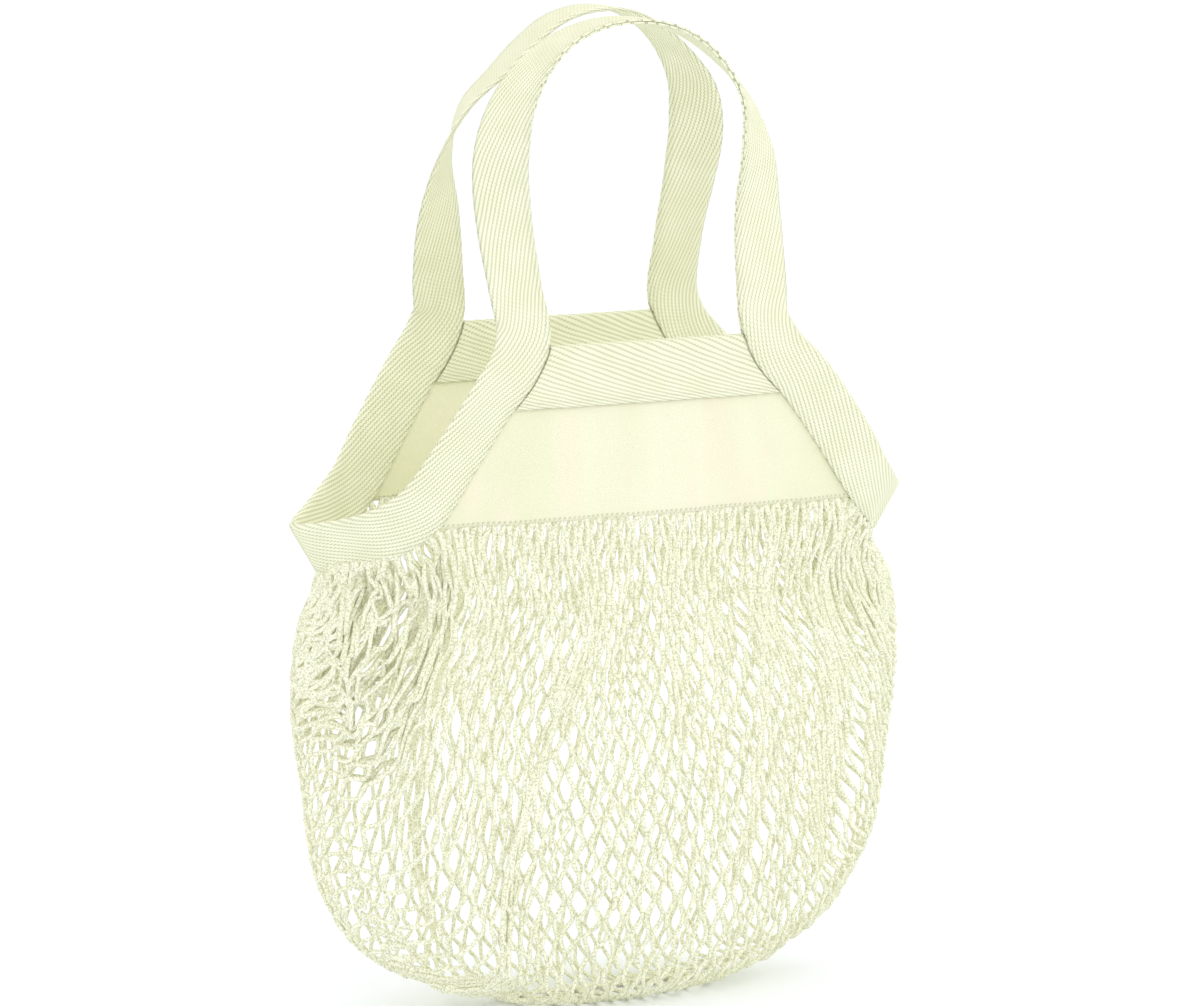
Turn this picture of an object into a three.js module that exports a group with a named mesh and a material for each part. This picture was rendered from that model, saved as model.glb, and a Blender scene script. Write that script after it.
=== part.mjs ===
import * as THREE from 'three';

// String shopping bag, in millimetres. X runs across the bag, Y from its front to its back, Z up.
// Heights are counted from the bag's lowest point. The origin is the grip between the two handles.

// Cloth
const TAPE_WIDTH = 25;
const TAPE_LAYER = 1;
const PANEL_THICK = 1.2;
const NET_THICK = 2.2;
const NET_EDGE_THICK = 1.4;
const CLEARANCE = 0.35;
const SEAM_ALLOWANCE = 6;
const PANEL_TUCK = 2;

// Mouth and panels
const MOUTH_HALF_WIDTH = 153;
const MOUTH_HALF_DEPTH = 47.5;
const PANEL_TOP = 312;
const PANEL_HEIGHT = 79;
const RIPPLE_DEPTH = 1.6;
const PANEL_BULGE = 5;

// Handles
const HANDLE_RISE = 142;
const GRIP_SPREAD = 25;

// Net sack
const NET_HALF_WIDTH = 150;
const NET_SHIFT = 1;
const NET_HALF_DEPTH = 62;
const NET_COLUMNS = 18;
const STRAND_SHARE = 0.24;
const FOLD_DEPTH = 9;

// The folded tape from the end of the mouth up to the panel's top corner.
// across: share of the mouth's half width, deep: share of its half depth, high: share of the
// panel's height above its lower edge, faces: turn of the face from the front towards the end,
// slant: tilt of the tape's width in its face, flare: how far the fold leans outward, in degrees.
const FRONT_SIDE_ROWS = [
  { across: 0.957, deep: 0, high: -0.155, faces: 90, slant: 90, flare: 31 },
  { across: 0.875, deep: 0.46, high: -0.1, faces: 64, slant: 88, flare: 30 },
  { across: 0.82, deep: 0.77, high: -0.035, faces: 46, slant: 78, flare: 26 },
  { across: 0.745, deep: 1.0, high: 0.09, faces: 20, slant: 54, flare: 18 },
  { across: 0.632, deep: 1.1, high: 0.4, faces: 5, slant: 40, flare: 17 },
  { across: 0.512, deep: 1.09, high: 0.72, faces: 2, slant: 32, flare: 16 },
  { across: 0.425, deep: 1.02, high: 0.92, faces: 0, slant: 14, flare: 6 },
];

const BACK_SIDE_ROWS = [
  { across: 0.957, deep: 0, high: -0.155, faces: 90, slant: 90, flare: 31 },
  { across: 0.88, deep: 0.34, high: -0.1, faces: 62, slant: 88, flare: 24 },
  { across: 0.812, deep: 0.56, high: -0.035, faces: 40, slant: 76, flare: 17 },
  { across: 0.728, deep: 0.7, high: 0.09, faces: 18, slant: 54, flare: 10 },
  { across: 0.62, deep: 0.79, high: 0.4, faces: 5, slant: 40, flare: 7 },
  { across: 0.505, deep: 0.9, high: 0.72, faces: 2, slant: 32, flare: 4 },
  { across: 0.425, deep: 0.98, high: 0.92, faces: 0, slant: 14, flare: 2 },
];

// A handle, from its right leg over the top to its left leg, each seen from its own side of the
// bag. across: share of the mouth's half width, lean: share of the way from the panel to the
// grip, high: share of the handle's rise, faces: turn of the tape, 90 where it lies flat on top.
const FRONT_HANDLE_ROWS = [
  { across: 0.398, lean: 0.02, high: 0.02, faces: 0 },
  { across: 0.4, lean: 0.3, high: 0.18, faces: 2 },
  { across: 0.412, lean: 0.6, high: 0.37, faces: 10 },
  { across: 0.415, lean: 0.69, high: 0.594, faces: 34 },
  { across: 0.392, lean: 0.78, high: 0.711, faces: 53 },
  { across: 0.308, lean: 0.87, high: 0.852, faces: 74 },
  { across: 0.214, lean: 0.95, high: 0.938, faces: 84 },
  { across: 0.098, lean: 1, high: 0.989, faces: 89 },
  { across: 0, lean: 1, high: 1, faces: 90 },
  { across: -0.11, lean: 1, high: 0.985, faces: 92 },
  { across: -0.22, lean: 0.95, high: 0.937, faces: 98 },
  { across: -0.312, lean: 0.87, high: 0.855, faces: 108 },
  { across: -0.39, lean: 0.78, high: 0.718, faces: 124 },
  { across: -0.419, lean: 0.69, high: 0.6, faces: 142 },
  { across: -0.416, lean: 0.6, high: 0.37, faces: 168 },
  { across: -0.404, lean: 0.3, high: 0.18, faces: 178 },
  { across: -0.398, lean: 0.02, high: 0.02, faces: 180 },
];
const BACK_HANDLE_ROWS = [
  { across: 0.398, lean: 0.02, high: 0.02, faces: 0 },
  { across: 0.415, lean: 0.3, high: 0.16, faces: 4 },
  { across: 0.432, lean: 0.6, high: 0.35, faces: 20 },
  { across: 0.415, lean: 0.69, high: 0.55, faces: 54 },
  { across: 0.345, lean: 0.8, high: 0.722, faces: 76 },
  { across: 0.262, lean: 0.88, high: 0.808, faces: 84 },
  { across: 0.17, lean: 0.95, high: 0.905, faces: 88 },
  { across: 0.07, lean: 1, high: 0.982, faces: 90 },
  { across: -0.045, lean: 1, high: 1.012, faces: 90 },
  { across: -0.15, lean: 1, high: 1, faces: 92 },
  { across: -0.245, lean: 0.95, high: 0.95, faces: 96 },
  { across: -0.335, lean: 0.88, high: 0.86, faces: 106 },
  { across: -0.4, lean: 0.79, high: 0.745, faces: 124 },
  { across: -0.418, lean: 0.7, high: 0.62, faces: 148 },
  { across: -0.405, lean: 0.6, high: 0.45, faces: 172 },
  { across: -0.386, lean: 0.34, high: 0.24, faces: 183 },
  { across: -0.398, lean: 0.02, high: 0.02, faces: 180 },
];

// Level rings of the sack below its seam. high: share of the seam's height, wide: share of the half
// width, front and back: shares of the half depth, square: roundness of the corners (2 is an
// ellipse).
const SACK_ROWS = [
  { high: 0.8, wide: 0.99, front: 0.86, back: 0.66, square: 2.2 },
  { high: 0.65, wide: 1.02, front: 0.97, back: 0.84, square: 2.2 },
  { high: 0.46, wide: 0.985, front: 1, back: 0.95, square: 2.2 },
  { high: 0.27, wide: 0.935, front: 0.93, back: 0.92, square: 2.3 },
  { high: 0.13, wide: 0.8, front: 0.78, back: 0.76, square: 2.3 },
  { high: 0.045, wide: 0.56, front: 0.54, back: 0.52, square: 2.3 },
  { high: 0.004, wide: 0.34, front: 0.26, back: 0.26, square: 2.4 },
];

// Gathered folds of the net. at: place round the sack, 0 and 1 at the middle of the front, 0.25 at
// the right end, 0.5 at the middle of the back; span: its width round the sack, depth: share of
// the fold depth, drift: how far it wanders on its way down, low: where it has died out.
const FOLD_ROWS = [
  { at: 0.035, span: 0.035, depth: 0.5, drift: -0.02, low: 0.8 },
  { at: 0.115, span: 0.04, depth: -0.6, drift: 0.015, low: 0.85 },
  { at: 0.175, span: 0.03, depth: 0.7, drift: 0.02, low: 0.75 },
  { at: 0.225, span: 0.035, depth: -1, drift: 0.01, low: 0.8 },
  { at: 0.285, span: 0.035, depth: -0.8, drift: -0.015, low: 0.8 },
  { at: 0.345, span: 0.04, depth: 0.7, drift: -0.02, low: 0.7 },
  { at: 0.43, span: 0.045, depth: -0.5, drift: 0.02, low: 0.9 },
  { at: 0.54, span: 0.045, depth: 0.6, drift: -0.03, low: 0.85 },
  { at: 0.63, span: 0.04, depth: -0.7, drift: 0.02, low: 0.8 },
  { at: 0.705, span: 0.035, depth: 0.8, drift: 0.015, low: 0.75 },
  { at: 0.765, span: 0.035, depth: -1, drift: -0.01, low: 0.85 },
  { at: 0.83, span: 0.04, depth: 0.9, drift: 0.06, low: 0.9 },
  { at: 0.895, span: 0.04, depth: -0.9, drift: 0.05, low: 0.95 },
  { at: 0.955, span: 0.035, depth: 0.7, drift: 0.01, low: 0.85 },
];

// How far down the net its rows of knots lie, as shares of the way from seam to base.
const KNOT_LEVELS = [0.1, 0.27, 0.43, 0.57, 0.69, 0.8, 0.9, 0.975];

const SEAM_HEIGHT = PANEL_TOP - PANEL_HEIGHT;
const GRIP_HEIGHT = PANEL_TOP + HANDLE_RISE - TAPE_LAYER;
const SHUT_SLOT = 0.2;
const PANEL_SLOT = PANEL_THICK / 2 + CLEARANCE;
const NET_SLOT = NET_EDGE_THICK / 2 + CLEARANCE + 0.1;

const radians = THREE.MathUtils.degToRad;
const mix = THREE.MathUtils.lerp;
const ease = THREE.MathUtils.smoothstep;

function vector(x, y, z) {
  return new THREE.Vector3(x, y, z);
}

// Smooth curve through rows of numbers, spaced by the distance between their first three.
function smoothRows(rows) {
  const knots = [0];
  for (let i = 1; i < rows.length; i++) {
    const step = Math.hypot(
      rows[i][0] - rows[i - 1][0], rows[i][1] - rows[i - 1][1], rows[i][2] - rows[i - 1][2]);
    knots.push(knots[i - 1] + step);
  }
  const last = rows.length - 1;
  const slope = (i, k) => {
    if (i === 0) {
      return (rows[1][k] - rows[0][k]) / (knots[1] - knots[0]);
    }
    if (i === last) {
      return (rows[last][k] - rows[last - 1][k]) / (knots[last] - knots[last - 1]);
    }
    const before = knots[i] - knots[i - 1];
    const after = knots[i + 1] - knots[i];
    const slopeBefore = (rows[i][k] - rows[i - 1][k]) / before;
    const slopeAfter = (rows[i + 1][k] - rows[i][k]) / after;
    return (slopeBefore * after + slopeAfter * before) / (before + after);
  };
  const at = (distance) => {
    let i = 0;
    while (i < last - 1 && knots[i + 1] < distance) {
      i++;
    }
    const length = knots[i + 1] - knots[i];
    const t = (distance - knots[i]) / length;
    return rows[i].map((value, k) => {
      const a = 2 * t ** 3 - 3 * t ** 2 + 1;
      const b = t ** 3 - 2 * t ** 2 + t;
      const c = 3 * t ** 2 - 2 * t ** 3;
      const d = t ** 3 - t ** 2;
      return a * value + b * length * slope(i, k) + c * rows[i + 1][k] + d * length * slope(i + 1, k);
    });
  };
  return { at, knots };
}

// Centre and width direction of the front tape's right half, from the end up to the handle's top.
function sideRow(row) {
  const turn = radians(row.faces);
  const slant = radians(row.slant);
  const flare = radians(row.flare);
  const along = Math.cos(flare) * Math.cos(slant);
  const out = Math.sin(flare);
  return [
    row.across * MOUTH_HALF_WIDTH,
    -row.deep * MOUTH_HALF_DEPTH,
    SEAM_HEIGHT + row.high * PANEL_HEIGHT,
    along * Math.cos(turn) + out * Math.sin(turn),
    along * Math.sin(turn) - out * Math.cos(turn),
    Math.cos(flare) * Math.sin(slant),
  ];
}

function handleRow(row) {
  const turn = radians(row.faces);
  return [
    row.across * MOUTH_HALF_WIDTH,
    -mix(MOUTH_HALF_DEPTH, GRIP_SPREAD, row.lean),
    PANEL_TOP + row.high * HANDLE_RISE,
    Math.cos(turn),
    Math.sin(turn),
    0,
  ];
}

function mirrored(row) {
  return [-row[0], row[1], row[2], -row[3], row[4], row[5]];
}

// The tape's whole way: up the right side, over the handle and down the left side. At each end it
// turns to meet the other tape squarely.
function tapeWay(sideRows, handleRows) {
  const right = sideRows.map(sideRow);
  const left = [...right].reverse().map(mirrored);
  const over = (row) => [row[0], -row[1], row[2], row[3], -row[4], row[5]];
  const all = [...right, ...handleRows.map(handleRow), ...left];
  const rows = smoothRows([over(right[1]), ...all, over(left[left.length - 2])]);
  const start = rows.knots[1];
  const length = rows.knots[rows.knots.length - 2] - start;
  const corner = rows.knots[sideRows.length] - start;
  const way = { rows, start, length };
  way.panelLow = distanceWhere(way, SEAM_HEIGHT, corner);
  way.panelHigh = distanceWhere(way, PANEL_TOP - PANEL_TUCK, corner + 20);
  way.netEnd = way.panelLow - 3;
  return way;
}

function tapeFrame(way, distance) {
  const row = way.rows.at(way.start + distance);
  const before = way.rows.at(way.start + distance - 0.5);
  const after = way.rows.at(way.start + distance + 0.5);
  const tangent = vector(after[0] - before[0], after[1] - before[1], after[2] - before[2]).normalize();
  const width = vector(row[3], row[4], row[5]);
  width.addScaledVector(tangent, -width.dot(tangent)).normalize();
  const face = width.clone().cross(tangent).normalize();
  const centre = vector(row[0], row[1], row[2]);
  const seam = centre.clone().addScaledVector(width, -TAPE_WIDTH / 2);
  return { centre, tangent, width, face, seam };
}

// How far along the tape its seam edge reaches a height.
function distanceWhere(way, height, limit) {
  let low = 0;
  let high = limit;
  for (let i = 0; i < 40; i++) {
    const middle = (low + high) / 2;
    if (tapeFrame(way, middle).seam.z > height) {
      high = middle;
    } else {
      low = middle;
    }
  }
  return (low + high) / 2;
}

const PANEL_ROWS = 10;
const BINDING_ROWS = 3;
const HANDLE_STEPS = 26;
const NET_HELD_STEPS = 8;
const frontWay = tapeWay(FRONT_SIDE_ROWS, FRONT_HANDLE_ROWS);
const backWay = tapeWay(BACK_SIDE_ROWS, BACK_HANDLE_ROWS);

// Middle of a panel. side runs from -1 at the left tape to 1, down from 0 at the top to 1.
function panelPoint(way, side, down) {
  const { seam } = tapeFrame(way, mix(way.panelHigh, way.panelLow, down));
  const inset = 1 - side * side;
  const ripple = Math.sin(side * 9.5 + 0.7) * 0.6 + Math.sin(side * 21 + 2.2 + down) * 0.4;
  const loose = Math.min(1, 3 * inset) * mix(0.25, 1, down);
  const out = PANEL_BULGE * down * inset + RIPPLE_DEPTH * ripple * loose;
  return vector(seam.x * side, seam.y - out, seam.z);
}

function panelFace(way, side, down) {
  const step = 0.01;
  const right = panelPoint(way, Math.min(side + step, 1), down);
  const left = panelPoint(way, Math.max(side - step, -1), down);
  const low = panelPoint(way, side, Math.min(down + step, 1));
  const high = panelPoint(way, side, Math.max(down - step, 0));
  return low.sub(high).cross(right.sub(left)).normalize();
}

// Collects triangles and makes a closed body of them.
function makeBody() {
  const points = [];
  const faces = [];
  return {
    add(point) {
      points.push(point.x, point.y, point.z);
      return points.length / 3 - 1;
    },
    triangle(a, b, c) {
      faces.push(a, b, c);
    },
    quad(a, b, c, d) {
      faces.push(a, b, c, a, c, d);
    },
    geometry() {
      const geometry = new THREE.BufferGeometry();
      geometry.setAttribute('position', new THREE.Float32BufferAttribute(points, 3));
      geometry.setIndex(faces);
      geometry.computeVertexNormals();
      return geometry;
    },
  };
}

// A closed body swept from a folded section: its outer path and its inner path from the open edge
// round the fold and back, point beside point. Both ends are filled between the two.
function foldedBody(sections) {
  const body = makeBody();
  const rows = sections.map(({ outer, inner }) => [...outer, ...[...inner].reverse()]
    .map((point) => body.add(point)));
  const count = rows[0].length;
  for (let i = 0; i + 1 < rows.length; i++) {
    for (let k = 0; k < count; k++) {
      const next = (k + 1) % count;
      // Both layers are split along the same diagonal, so that they lie parallel where they twist.
      const towardsFold = k % (count / 2) < (count / 2 - 1) / 2;
      if (towardsFold) {
        body.quad(rows[i][k], rows[i + 1][k], rows[i + 1][next], rows[i][next]);
      } else {
        body.quad(rows[i][next], rows[i][k], rows[i + 1][k], rows[i + 1][next]);
      }
    }
  }
  const first = rows[0];
  const last = rows[rows.length - 1];
  for (let k = 0; k + 1 < count / 2; k++) {
    body.quad(first[k], first[k + 1], first[count - 2 - k], first[count - 1 - k]);
    body.quad(last[k], last[count - 1 - k], last[count - 2 - k], last[k + 1]);
  }
  return body.geometry();
}

// Doubled tape: two layers joined at the fold, open by twice the slot at the seam edge. Each point
// is given across the width and out of the face.
function tapeSection(slot) {
  const half = TAPE_WIDTH / 2;
  const held = SEAM_ALLOWANCE + 1 - half;
  const shut = half - 2 * TAPE_LAYER;
  const path = (round, fold, out) => [
    [-half, -out], [held, -out], [round, -out], [fold, 0], [round, out], [held, out], [-half, out],
  ];
  return { outer: path(half - 1, half, slot + TAPE_LAYER), inner: path(shut, shut + slot / 2, slot) };
}

// The slot is as wide as what the tape holds: net at the ends, then panel, then nothing.
function tapeSlot(way, distance) {
  const near = Math.min(distance, way.length - distance);
  const change = 14;
  const held = mix(NET_SLOT, PANEL_SLOT, ease(near, way.panelLow, way.panelLow + change));
  return mix(held, SHUT_SLOT, ease(near, way.panelHigh, way.panelHigh + change));
}

// Sections lie where the net's and the panel's edges have theirs, so that both lie true in the slot.
function tapeDistances(way) {
  const side = [];
  const run = (from, to, count) => {
    for (let i = 0; i < count; i++) {
      side.push(mix(from, to, i / count));
    }
  };
  run(0, way.netEnd, NET_HELD_STEPS);
  run(way.netEnd, way.panelLow, 1);
  run(way.panelLow, way.panelHigh, PANEL_ROWS);
  const over = [];
  for (let i = 0; i <= HANDLE_STEPS; i++) {
    over.push(mix(way.panelHigh, way.length - way.panelHigh, i / HANDLE_STEPS));
  }
  const down = [...side].reverse().map((distance) => way.length - distance);
  return [...side, ...over, ...down];
}

function handleTape(way) {
  const sections = tapeDistances(way).map((distance) => {
    const frame = tapeFrame(way, distance);
    const place = ([across, out]) => {
      const point = frame.centre.clone()
        .addScaledVector(frame.width, across)
        .addScaledVector(frame.face, out);
      // The front and back tapes meet in the middle of the bag's end.
      point.y = Math.min(point.y, -CLEARANCE / 2);
      return point;
    };
    const { outer, inner } = tapeSection(tapeSlot(way, distance));
    return { outer: outer.map(place), inner: inner.map(place) };
  });
  return foldedBody(sections);
}

// A cloth sheet of even thickness over a grid of middle points with their face directions.
function clothSheet(grid) {
  const body = makeBody();
  const layer = (offset) => grid.map((row) => row.map((cell) => body.add(
    cell.point.clone().addScaledVector(cell.face, offset))));
  const outer = layer(PANEL_THICK / 2);
  const inner = layer(-PANEL_THICK / 2);
  const rows = grid.length;
  const columns = grid[0].length;
  for (let i = 0; i + 1 < rows; i++) {
    for (let k = 0; k + 1 < columns; k++) {
      // The right half is split as the mirror image of the left, as the tapes that hold it are.
      if (k < (columns - 1) / 2) {
        body.quad(outer[i][k], outer[i + 1][k], outer[i + 1][k + 1], outer[i][k + 1]);
        body.quad(inner[i][k], inner[i][k + 1], inner[i + 1][k + 1], inner[i + 1][k]);
      } else {
        body.quad(outer[i][k + 1], outer[i][k], outer[i + 1][k], outer[i + 1][k + 1]);
        body.quad(inner[i][k + 1], inner[i + 1][k + 1], inner[i + 1][k], inner[i][k]);
      }
    }
    const end = columns - 1;
    body.quad(outer[i][0], inner[i][0], inner[i + 1][0], outer[i + 1][0]);
    body.quad(outer[i][end], outer[i + 1][end], inner[i + 1][end], inner[i][end]);
  }
  for (let k = 0; k + 1 < columns; k++) {
    const foot = rows - 1;
    body.quad(outer[0][k], outer[0][k + 1], inner[0][k + 1], inner[0][k]);
    body.quad(outer[foot][k], inner[foot][k], inner[foot][k + 1], outer[foot][k + 1]);
  }
  return body.geometry();
}

function panel(way) {
  const columns = 14;
  const grid = [];
  for (let i = 0; i <= PANEL_ROWS; i++) {
    const down = i / PANEL_ROWS;
    const frame = tapeFrame(way, mix(way.panelHigh, way.panelLow, down));
    const held = (sign, tuck) => {
      const point = frame.seam.clone().addScaledVector(frame.width, tuck);
      const face = frame.face.clone();
      point.x *= sign;
      face.x *= sign;
      return { point, face };
    };
    const row = [held(-1, SEAM_ALLOWANCE), held(-1, 0)];
    for (let k = 1; k < columns; k++) {
      const side = mix(-1, 1, k / columns);
      row.push({ point: panelPoint(way, side, down), face: panelFace(way, side, down) });
    }
    row.push(held(1, 0), held(1, SEAM_ALLOWANCE));
    grid.push(row);
  }
  return clothSheet(grid);
}

// Tape folded over the panel's top edge, from one handle tape to the other.
function topBinding(way) {
  const columns = 14;
  const near = PANEL_THICK / 2 + CLEARANCE;
  const far = near + TAPE_LAYER;
  const levels = [];
  for (let i = 0; i <= BINDING_ROWS; i++) {
    levels.push(i / PANEL_ROWS);
  }
  const rising = [...levels].reverse();
  const top = CLEARANCE + TAPE_LAYER;
  const lift = (down) => (down === 0 ? CLEARANCE : 0);
  const outer = [
    ...rising.map((down) => [down, far, 0]), [0, far * 0.6, top],
    [0, -far * 0.6, top], ...levels.map((down) => [down, -far, 0]),
  ];
  const inner = [
    ...rising.map((down) => [down, near, lift(down)]), [0, near * 0.5, CLEARANCE],
    [0, -near * 0.5, CLEARANCE], ...levels.map((down) => [down, -near, lift(down)]),
  ];
  const sections = [];
  for (let i = 0; i <= columns; i++) {
    const share = mix(-1, 1, i / columns);
    const place = ([down, out, up]) => {
      const reach = 1 - (CLEARANCE * 3.5) / panelPoint(way, 1, down).x;
      const side = share * reach;
      const face = panelFace(way, side, down);
      return panelPoint(way, side, down).addScaledVector(face, out).add(vector(0, 0, up));
    };
    sections.push({ outer: outer.map(place), inner: inner.map(place) });
  }
  return foldedBody(sections);
}

// Point on a rounded ring at a share of the way from the middle of the front to the right end.
function ringPoint(wide, deep, square, share) {
  const steps = 48;
  const at = (angle) => [
    wide * Math.sin(angle) ** (2 / square),
    -deep * Math.cos(angle) ** (2 / square),
  ];
  const lengths = [0];
  for (let i = 1; i <= steps; i++) {
    const a = at((Math.PI / 2) * ((i - 1) / steps));
    const b = at((Math.PI / 2) * Math.min(i / steps, 0.99999));
    lengths.push(lengths[i - 1] + Math.hypot(b[0] - a[0], b[1] - a[1]));
  }
  const wanted = share * lengths[steps];
  let i = 1;
  while (i < steps && lengths[i] < wanted) {
    i++;
  }
  const t = (wanted - lengths[i - 1]) / (lengths[i] - lengths[i - 1]);
  const angle = (Math.PI / 2) * Math.min((i - 1 + t) / steps, 0.99999);
  return at(angle);
}

// Share of a quarter of the mouth that lies under the panel; the tape holds the rest. The net's
// top edge is sewn flat over a short share of its height.
const UNDER_PANEL = 10 / 18;
const SEWN_BAND = 0.03;

// One line of the net from the seam to the base. quarter is 0 at mid face and 1 at the bag's end.
function netLine(way, quarter) {
  const start = [];
  if (quarter <= UNDER_PANEL) {
    const side = quarter / UNDER_PANEL;
    const rim = panelPoint(way, side, 1);
    const drop = CLEARANCE + NET_EDGE_THICK / 2;
    start.push([rim.x, rim.y, rim.z - drop]);
    start.push([rim.x * 1.005, rim.y - 0.5, rim.z - drop - 6]);
  } else {
    const t = (quarter - UNDER_PANEL) / (1 - UNDER_PANEL);
    const frame = tapeFrame(way, mix(way.netEnd, 0, t));
    const tuck = SEAM_ALLOWANCE * ease(t, 0.1, 0.5);
    const top = frame.seam.clone().addScaledVector(frame.width, tuck);
    const low = frame.seam.clone().addScaledVector(frame.width, -1);
    start.push([top.x, top.y, top.z]);
    start.push([low.x, low.y, low.z]);
  }
  const rings = SACK_ROWS.map((row) => {
    const deep = (way === frontWay ? row.front : row.back) * NET_HALF_DEPTH;
    const [x, y] = ringPoint(row.wide * NET_HALF_WIDTH, deep, row.square, quarter);
    return [x, y, row.high * SEAM_HEIGHT + NET_THICK / 2];
  });
  return smoothRows([...start, ...rings]);
}

function foldOut(round, down) {
  let out = 0;
  for (const row of FOLD_ROWS) {
    const gap = round - (row.at + row.drift * down);
    const nearest = gap - Math.round(gap);
    const strength = ease(down, 0.06, 0.22) * (1 - ease(down, row.low - 0.25, row.low));
    out += row.depth * strength * Math.exp(-((nearest / (row.span / 2)) ** 2));
  }
  return out * FOLD_DEPTH;
}

const netLines = new Map();

// round is 0 at the middle of the front, 0.25 at the right end and 0.5 at the middle of the back.
function netMiddle(round, down) {
  const turn = round - Math.floor(round);
  const half = turn > 0.5 ? 1 - turn : turn;
  const quarter = half > 0.25 ? 2 - half * 4 : half * 4;
  const way = half > 0.25 ? backWay : frontWay;
  const key = `${way === frontWay} ${Math.round(quarter * 1e6)}`;
  if (!netLines.has(key)) {
    netLines.set(key, netLine(way, quarter));
  }
  const line = netLines.get(key);
  const length = line.knots[line.knots.length - 1];
  const distance = down < SEWN_BAND
    ? line.knots[1] * (down / SEWN_BAND)
    : mix(line.knots[1], length, (down - SEWN_BAND) / (1 - SEWN_BAND));
  const [x, y, z] = line.at(distance);
  const shift = NET_SHIFT * ease(down, 0.05, 0.4);
  return vector((turn > 0.5 ? -x : x) + shift, half > 0.25 ? -y : y, z);
}

function netFace(round, down) {
  const step = 0.012;
  const across = netMiddle(round + step, down).sub(netMiddle(round - step, down));
  const fall = netMiddle(round, Math.min(down + step, 1)).sub(netMiddle(round, Math.max(down - step, 0)));
  return fall.cross(across).normalize();
}

function netPoint(round, down, side) {
  const face = netFace(round, down);
  const thick = mix(NET_EDGE_THICK, NET_THICK, ease(down, SEWN_BAND, 0.08));
  return netMiddle(round, down).addScaledVector(face, foldOut(round, down) + (side * thick) / 2);
}

// The sack: a gathered band, rows of diamond gaps cut through between knots, and a closed base.
function netBody() {
  const body = makeBody();
  const shared = new Map();
  const steps = NET_COLUMNS * 4;
  const corner = (step, down, side) => {
    const turn = ((step % steps) + steps) % steps;
    const key = [turn, down.toFixed(6), side].join();
    if (!shared.has(key)) {
      shared.set(key, body.add(netPoint(turn / steps, down, side)));
    }
    return shared.get(key);
  };
  const sheet = (side, loop) => {
    const ids = loop.map(([step, down]) => corner(step, down, side));
    for (let i = 1; i + 1 < ids.length; i++) {
      if (side > 0) {
        body.triangle(ids[0], ids[i], ids[i + 1]);
      } else {
        body.triangle(ids[0], ids[i + 1], ids[i]);
      }
    }
  };
  const both = (loop) => {
    sheet(1, loop);
    sheet(-1, loop);
  };
  // Knots alternate by half a column from one level to the next.
  const shift = (level) => (level % 2) * 2;
  const band = [0, SEWN_BAND, (SEWN_BAND + KNOT_LEVELS[0]) / 2];
  for (let step = 0; step < steps; step++) {
    both([[step, band[0]], [step, band[1]], [step + 1, band[1]], [step + 1, band[0]]]);
    both([[step, band[1]], [step, band[2]], [step + 1, band[2]], [step + 1, band[1]]]);
  }
  const levels = KNOT_LEVELS;
  const last = levels.length - 1;
  for (let column = 0; column < NET_COLUMNS; column++) {
    for (let i = 1; i < last; i++) {
      diamond(column * 4 + shift(i + 1), levels[i - 1], levels[i], levels[i + 1]);
    }
    topTriangle(column * 4 + shift(0));
    footTriangle(column * 4 + shift(last));
  }
  function diamond(step, top, middle, foot) {
    const rim = [
      [step, top], [step - 1, (top + middle) / 2], [step - 2, middle], [step - 1, (middle + foot) / 2],
      [step, foot], [step + 1, (middle + foot) / 2], [step + 2, middle], [step + 1, (top + middle) / 2],
    ];
    const keep = 1 - STRAND_SHARE;
    const hole = rim.map(([s, d]) => [step + (s - step) * keep, middle + (d - middle) * keep]);
    for (let k = 0; k < rim.length; k++) {
      const next = (k + 1) % rim.length;
      both([rim[k], rim[next], hole[next], hole[k]]);
      const a = corner(...hole[k], 1);
      const b = corner(...hole[next], 1);
      const c = corner(...hole[next], -1);
      const d = corner(...hole[k], -1);
      body.quad(a, b, c, d);
    }
  }
  function topTriangle(step) {
    const [high, low] = [levels[0], levels[1]];
    const edge = band[2];
    both([[step, edge], [step - 1, edge], [step - 1, (high + low) / 2], [step, high]]);
    both([[step + 1, edge], [step, edge], [step, high], [step + 1, (high + low) / 2]]);
    both([[step - 1, edge], [step - 2, edge], [step - 2, low], [step - 1, (high + low) / 2]]);
    both([[step + 2, edge], [step + 1, edge], [step + 1, (high + low) / 2], [step + 2, low]]);
  }
  function footTriangle(step) {
    const [high, low] = [levels[last - 1], levels[last]];
    both([[step, low], [step - 1, (high + low) / 2], [step - 1, 1], [step, 1]]);
    both([[step + 1, (high + low) / 2], [step, low], [step, 1], [step + 1, 1]]);
    both([[step - 1, (high + low) / 2], [step - 2, high], [step - 2, 1], [step - 1, 1]]);
    both([[step + 2, high], [step + 1, (high + low) / 2], [step + 1, 1], [step + 2, 1]]);
  }
  // Rim at the mouth.
  for (let step = 0; step < steps; step++) {
    body.quad(corner(step, 0, 1), corner(step + 1, 0, 1), corner(step + 1, 0, -1), corner(step, 0, -1));
  }
  // Base, joined from front to back.
  for (let step = 0; step < steps / 4; step++) {
    for (const turn of [1, -1]) {
      const front = [step * turn, 1];
      const frontNext = [(step + 1) * turn, 1];
      const back = [steps / 2 - step * turn, 1];
      const backNext = [steps / 2 - (step + 1) * turn, 1];
      const loop = step + 1 === steps / 4
        ? [front, back, frontNext]
        : [front, back, backNext, frontNext];
      both(turn > 0 ? loop : loop.reverse());
    }
  }
  return body.geometry();
}

const colours = { tape: 0xf2f4d8, panel: 0xf8f8de, net: 0xeff0d0 };

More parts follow.
